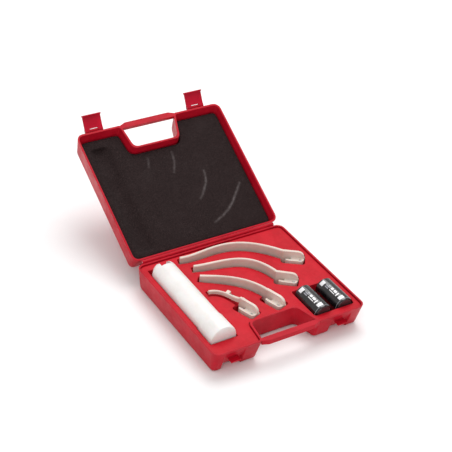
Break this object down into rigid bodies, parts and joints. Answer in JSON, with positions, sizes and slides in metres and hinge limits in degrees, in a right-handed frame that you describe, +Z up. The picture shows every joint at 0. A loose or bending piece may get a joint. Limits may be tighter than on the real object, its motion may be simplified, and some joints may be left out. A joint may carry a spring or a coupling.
{
  "type": "laryngoscope set",
  "caption": "Battery laryngoscope handle, curved hook-on blades and spare cells in the fitted tray of a hinged carry case with a foam-lined lid and two latches.",
  "frame": {"origin": "centre of the case base's underside, on the surface that the case stands on", "axes": "+X along the lid's hinge, +Y from the carrying grip towards the hinge, +Z up out of the tray"},
  "size_m": [0.229, 0.4045, 0.1535],
  "materials": {
    "red_plastic": "moulded, satin gloss",
    "white_plastic": "moulded, satin gloss",
    "ivory_plastic": "moulded, satin gloss",
    "charcoal_foam": "open-cell foam, matt",
    "black_rubber": "matt",
    "cell_jacket": "printed film, glossy",
    "steel": "bright",
    "brass": "bright",
    "lamp_glass": "clear"
  },
  "bodies": {
    "case": {"case_base": "red_plastic", "tray": "red_plastic", "hinge_pin": "steel"},
    "lid": {"case_lid": "red_plastic", "lid_foam": "charcoal_foam", "latch_left_pin": "steel", "latch_right_pin": "steel"},
    "latch_left": {"latch_left": "red_plastic"},
    "latch_right": {"latch_right": "red_plastic"},
    "handle": {"handle_body": "white_plastic", "hook_saddle": "steel", "hook_bar": "steel", "contact_bush": "black_rubber", "plunger_spring": "steel", "conductor_strip": "brass"},
    "contact_plunger": {"contact_plunger": "brass"},
    "handle_cap": {"handle_cap": "white_plastic", "cap_seal": "black_rubber", "cap_contact_plate": "brass", "battery_spring": "steel"},
    "blade_4": {"blade_4": "ivory_plastic", "blade_4_contact_bush": "white_plastic", "blade_4_contact_stud": "brass", "blade_4_detent_spring": "steel", "blade_4_bulb_base": "brass", "blade_4_bulb_glass": "lamp_glass"},
    "blade_4_ball_upper": {"blade_4_ball_upper": "steel"},
    "blade_4_ball_lower": {"blade_4_ball_lower": "steel"},
    "blade_3": {"blade_3": "ivory_plastic", "blade_3_contact_bush": "white_plastic", "blade_3_contact_stud": "brass", "blade_3_detent_spring": "steel", "blade_3_bulb_base": "brass", "blade_3_bulb_glass": "lamp_glass"},
    "blade_3_ball_upper": {"blade_3_ball_upper": "steel"},
    "blade_3_ball_lower": {"blade_3_ball_lower": "steel"},
    "blade_2": {"blade_2": "ivory_plastic", "blade_2_contact_bush": "white_plastic", "blade_2_contact_stud": "brass", "blade_2_detent_spring": "steel", "blade_2_bulb_base": "brass", "blade_2_bulb_glass": "lamp_glass"},
    "blade_2_ball_upper": {"blade_2_ball_upper": "steel"},
    "blade_2_ball_lower": {"blade_2_ball_lower": "steel"},
    "blade_1": {"blade_1": "ivory_plastic", "blade_1_contact_bush": "white_plastic", "blade_1_contact_stud": "brass", "blade_1_detent_spring": "steel", "blade_1_bulb_base": "brass", "blade_1_bulb_glass": "lamp_glass"},
    "blade_1_ball_upper": {"blade_1_ball_upper": "steel"},
    "blade_1_ball_lower": {"blade_1_ball_lower": "steel"},
    "cell_left": {"cell_left_jacket": "cell_jacket", "cell_left_positive_cap": "steel", "cell_left_negative_plate": "steel"},
    "cell_right": {"cell_right_jacket": "cell_jacket", "cell_right_positive_cap": "steel", "cell_right_negative_plate": "steel"}
  },
  "joints": [
    {"name": "lid_hinge", "type": "hinge", "parent": "case", "child": "lid", "pos_m": [0, 0.10365, 0.0347], "axis": [-1, 0, 0], "range_deg": [-151.5, 0]},
    {"name": "latch_left_hinge", "type": "hinge", "parent": "lid", "child": "latch_left", "pos_m": [-0.084, 0.28754, 0.13193], "axis": [-1, 0, 0], "range_deg": [-58, 92]},
    {"name": "latch_right_hinge", "type": "hinge", "parent": "lid", "child": "latch_right", "pos_m": [0.078, 0.28754, 0.13193], "axis": [-1, 0, 0], "range_deg": [-58, 92]},
    {"name": "handle_lift", "type": "slide", "parent": "case", "child": "handle", "axis": [0, 0, 1], "range_m": [0, 0.06]},
    {"name": "cap_turn", "type": "hinge", "parent": "handle", "child": "handle_cap", "pos_m": [-0.086, -0.059, 0.032], "axis": [0, -1, 0], "range_deg": [0, 720]},
    {"name": "plunger_press", "type": "slide", "parent": "handle", "child": "contact_plunger", "axis": [0, -1, 0], "range_m": [0, 0.0018], "stiffness_N_per_m": 300, "deforming": ["plunger_spring"]},
    {"name": "blade_4_lift", "type": "slide", "parent": "case", "child": "blade_4", "axis": [0, 0, 1], "range_m": [0, 0.05]},
    {"name": "blade_4_ball_upper_press", "type": "slide", "parent": "blade_4", "child": "blade_4_ball_upper", "axis": [0, 0, -1], "range_m": [0, 0.0007], "stiffness_N_per_m": 200, "deforming": ["blade_4_detent_spring"]},
    {"name": "blade_4_ball_lower_press", "type": "slide", "parent": "blade_4", "child": "blade_4_ball_lower", "axis": [0, 0, 1], "range_m": [0, 0.0007], "stiffness_N_per_m": 200, "deforming": ["blade_4_detent_spring"]},
    {"name": "blade_3_lift", "type": "slide", "parent": "case", "child": "blade_3", "axis": [0, 0, 1], "range_m": [0, 0.05]},
    {"name": "blade_3_ball_upper_press", "type": "slide", "parent": "blade_3", "child": "blade_3_ball_upper", "axis": [0, 0, -1], "range_m": [0, 0.0007], "stiffness_N_per_m": 200, "deforming": ["blade_3_detent_spring"]},
    {"name": "blade_3_ball_lower_press", "type": "slide", "parent": "blade_3", "child": "blade_3_ball_lower", "axis": [0, 0, 1], "range_m": [0, 0.0007], "stiffness_N_per_m": 200, "deforming": ["blade_3_detent_spring"]},
    {"name": "blade_2_lift", "type": "slide", "parent": "case", "child": "blade_2", "axis": [0, 0, 1], "range_m": [0, 0.05]},
    {"name": "blade_2_ball_upper_press", "type": "slide", "parent": "blade_2", "child": "blade_2_ball_upper", "axis": [0, 0, -1], "range_m": [0, 0.0007], "stiffness_N_per_m": 200, "deforming": ["blade_2_detent_spring"]},
    {"name": "blade_2_ball_lower_press", "type": "slide", "parent": "blade_2", "child": "blade_2_ball_lower", "axis": [0, 0, 1], "range_m": [0, 0.0007], "stiffness_N_per_m": 200, "deforming": ["blade_2_detent_spring"]},
    {"name": "blade_1_lift", "type": "slide", "parent": "case", "child": "blade_1", "axis": [0, 0, 1], "range_m": [0, 0.05]},
    {"name": "blade_1_ball_upper_press", "type": "slide", "parent": "blade_1", "child": "blade_1_ball_upper", "axis": [0, 0, -1], "range_m": [0, 0.0007], "stiffness_N_per_m": 200, "deforming": ["blade_1_detent_spring"]},
    {"name": "blade_1_ball_lower_press", "type": "slide", "parent": "blade_1", "child": "blade_1_ball_lower", "axis": [0, 0, 1], "range_m": [0, 0.0007], "stiffness_N_per_m": 200, "deforming": ["blade_1_detent_spring"]},
    {"name": "cell_left_lift", "type": "slide", "parent": "case", "child": "cell_left", "axis": [0, 0, 1], "range_m": [0, 0.05]},
    {"name": "cell_right_lift", "type": "slide", "parent": "case", "child": "cell_right", "axis": [0, 0, 1], "range_m": [0, 0.05]}
  ]
}
